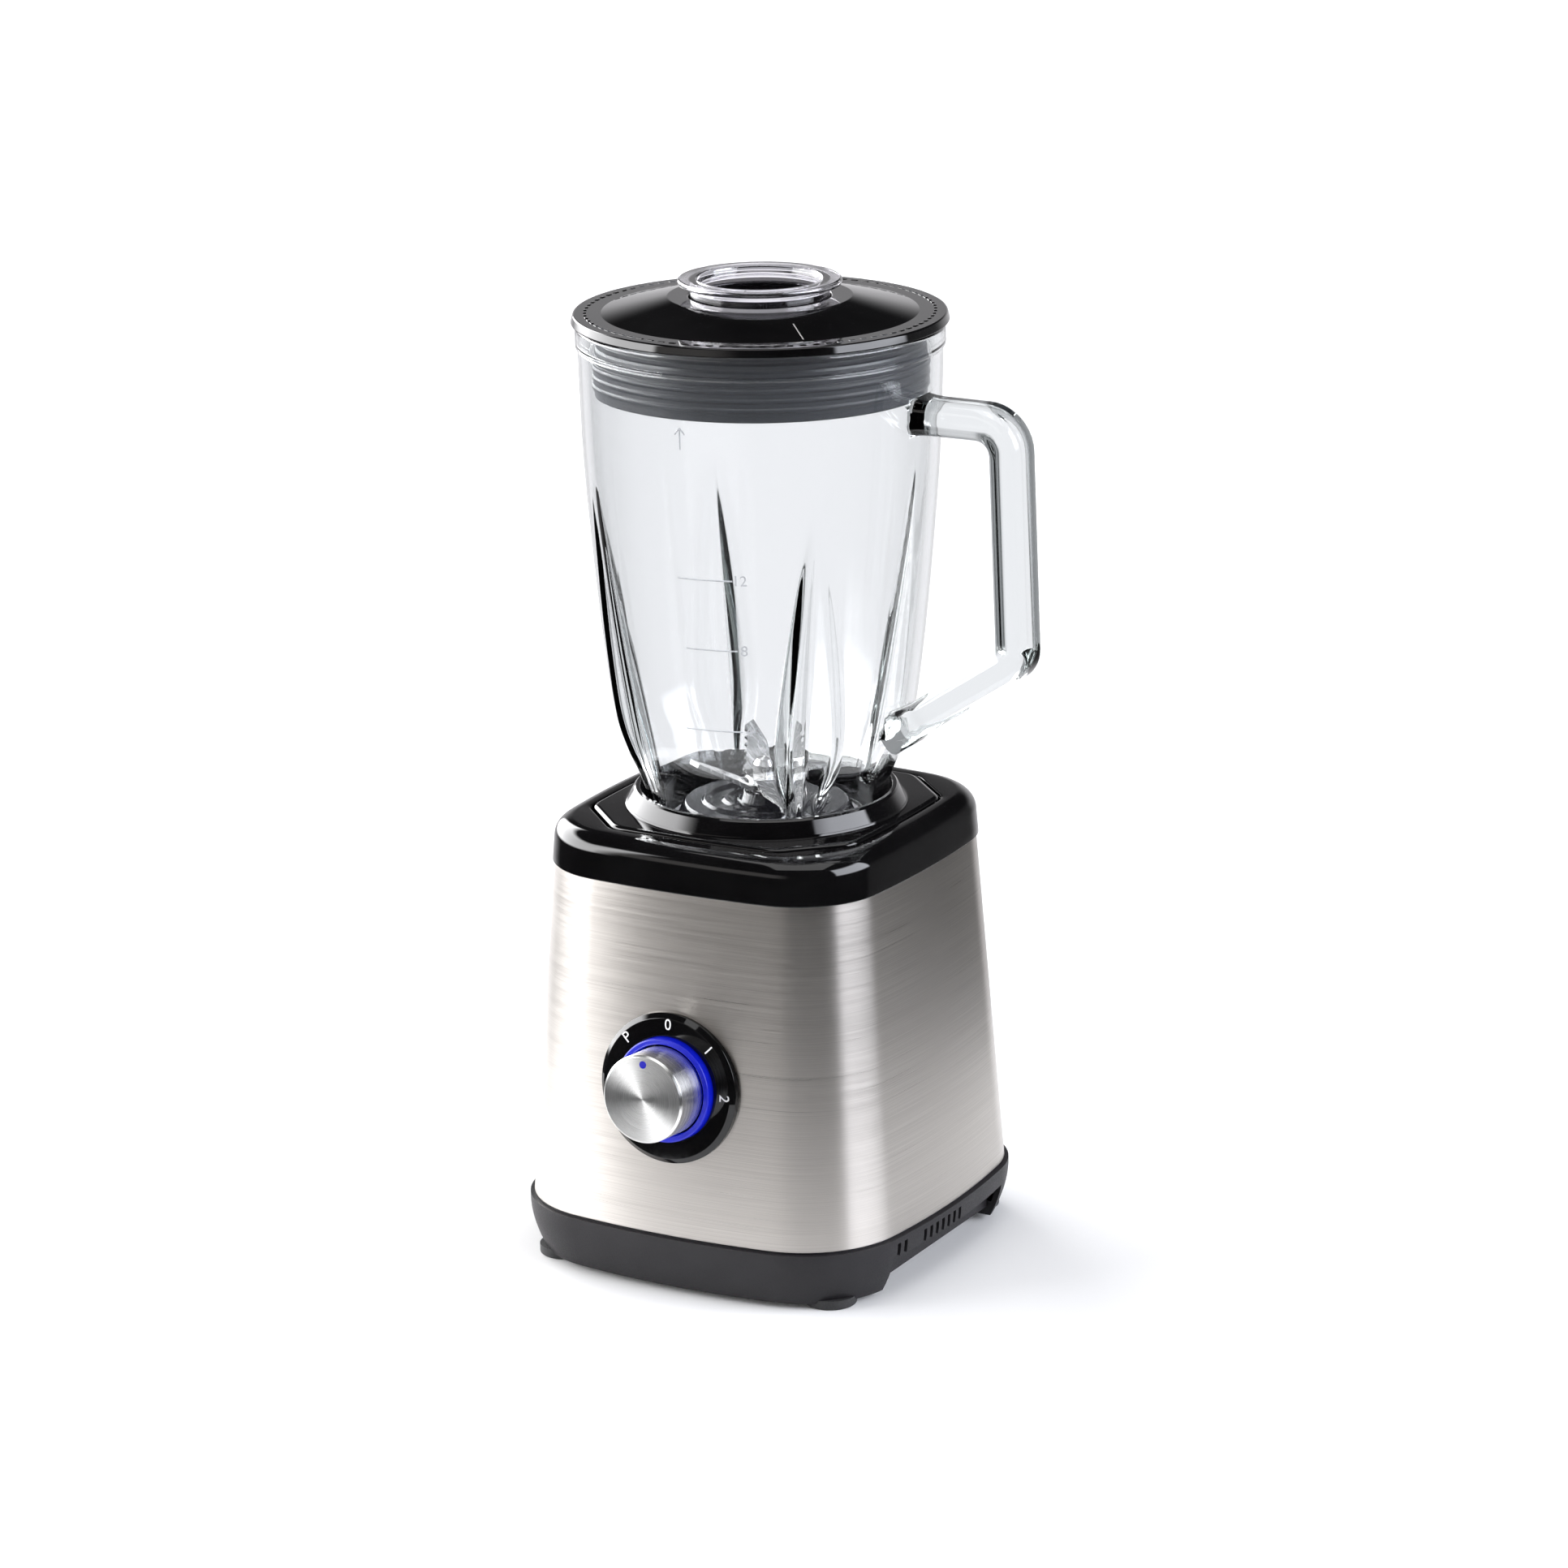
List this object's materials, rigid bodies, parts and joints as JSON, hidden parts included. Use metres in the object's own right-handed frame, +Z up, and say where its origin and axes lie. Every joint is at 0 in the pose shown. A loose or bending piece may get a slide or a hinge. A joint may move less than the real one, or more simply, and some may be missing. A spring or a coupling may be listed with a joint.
{
  "type": "countertop blender",
  "caption": "Countertop blender: steel-sided motor base with a rotary dial, glass jug with side handle, removable lid, measuring cap and spinning blades.",
  "frame": {"origin": "on the motor axis, in the plane the rubber feet stand on", "axes": "+Z up along the motor axis, -Y out of the dial, +X out of the jug's handle"},
  "size_m": [0.2045, 0.1931, 0.395],
  "materials": {
    "pan_plastic": "fine-grained matte black",
    "foot_rubber": "matte",
    "brushed_steel": "horizontally brushed",
    "gloss_black": "piano gloss",
    "seal_rubber": "smooth",
    "chassis_plastic": "moulded",
    "laminations": "stacked sheet, varnished",
    "enamelled_copper": "varnished winding",
    "zinc_steel": "zinc plated",
    "bearing_steel": "ground",
    "screw_steel": "zinc plated",
    "holder_plastic": "phenolic",
    "carbon": "pressed carbon",
    "spring_steel": "bright wire",
    "switch_plastic": "moulded",
    "board_green": "solder mask",
    "capacitor_yellow": "moulded box",
    "terminal_white": "moulded",
    "dial_black": "semi gloss",
    "glow_blue": "lit diffuser",
    "shaft_steel": "ground",
    "commutator_copper": "turned copper",
    "fan_plastic": "moulded",
    "coupling_rubber": "hard rubber",
    "coupling_metal": "die cast",
    "knob_plastic": "moulded",
    "knob_aluminium": "turned face, satin side",
    "marker_blue": "lens",
    "clear_glass": "clear pressed glass",
    "gasket_silicone": "translucent silicone",
    "holder_black": "glass-filled nylon",
    "bush_bronze": "sintered bronze",
    "blade_steel": "ground stainless",
    "cap_clear": "clear plastic"
  },
  "bodies": {
    "base": {"base_pan": "pan_plastic", "rubber_feet": "foot_rubber", "steel_sleeve": "brushed_steel", "top_cover": "gloss_black", "drip_seal": "seal_rubber", "inner_chassis": "chassis_plastic", "stator_core": "laminations", "stator_coils": "enamelled_copper", "upper_bracket": "zinc_steel", "lower_bracket": "zinc_steel", "upper_bearing": "bearing_steel", "lower_bearing": "bearing_steel", "rubber_dampers": "seal_rubber", "motor_screws": "screw_steel", "cover_screws": "screw_steel", "pan_screws": "screw_steel", "brush_holders": "holder_plastic", "carbon_brushes": "carbon", "brush_springs": "spring_steel", "fan_shroud": "chassis_plastic", "cord_gland": "pan_plastic", "noise_capacitor": "capacitor_yellow", "terminal_block": "terminal_white", "rotary_switch": "switch_plastic", "switch_screws": "screw_steel", "led_board": "board_green", "dial_bezel": "dial_black", "light_ring": "glow_blue", "interlock_switch": "switch_plastic"},
    "rotor": {"rotor_shaft": "shaft_steel", "armature_core": "laminations", "armature_winding": "enamelled_copper", "commutator": "commutator_copper", "cooling_fan": "fan_plastic", "drive_coupling": "coupling_rubber", "retaining_clip": "spring_steel"},
    "knob": {"switch_spindle": "shaft_steel", "knob_core": "knob_plastic", "knob_cap": "knob_aluminium", "knob_marker": "marker_blue"},
    "interlock": {"interlock_pin": "holder_black", "interlock_spring": "spring_steel"},
    "jug": {"glass_jar": "clear_glass", "jar_base": "gloss_black", "jar_gasket": "gasket_silicone", "blade_holder": "holder_black", "blade_bushing": "bush_bronze", "shaft_seal": "seal_rubber"},
    "blades": {"blade_shaft": "shaft_steel", "driven_coupling": "coupling_metal", "lower_blade": "blade_steel", "blade_spacer": "blade_steel", "upper_blade": "blade_steel", "blade_nut": "blade_steel"},
    "lid": {"lid": "gloss_black", "lid_seal": "seal_rubber"},
    "cap": {"measuring_cap": "cap_clear"}
  },
  "joints": [
    {"name": "motor_spin", "type": "hinge", "parent": "base", "child": "rotor", "pos_m": [0, 0, 0.09], "axis": [0, 0, 1], "continuous": true},
    {"name": "dial_turn", "type": "hinge", "parent": "base", "child": "knob", "pos_m": [0, -0.08046, 0.0856], "axis": [0, 0.9967, -0.0815], "range_deg": [-45, 90]},
    {"name": "jug_lift", "type": "slide", "parent": "base", "child": "jug", "axis": [0, 0, 1], "range_m": [0, 0.06]},
    {"name": "blade_spin", "type": "hinge", "parent": "jug", "child": "blades", "pos_m": [0, 0, 0.18], "axis": [0, 0, 1], "continuous": true},
    {"name": "lid_lift", "type": "slide", "parent": "jug", "child": "lid", "axis": [0, 0, 1], "range_m": [0, 0.045]},
    {"name": "cap_lift", "type": "slide", "parent": "lid", "child": "cap", "axis": [0, 0, 1], "range_m": [0, 0.04]},
    {"name": "interlock_travel", "type": "slide", "parent": "base", "child": "interlock", "axis": [0, 0, 1], "range_m": [0, 0.003], "deforming": ["interlock_spring"]}
  ],
  "couplings": [
    {"joint": "blade_spin", "follows": "motor_spin", "ratio": 1},
    {"joint": "interlock_travel", "follows": "jug_lift", "ratio": 0.05}
  ]
}
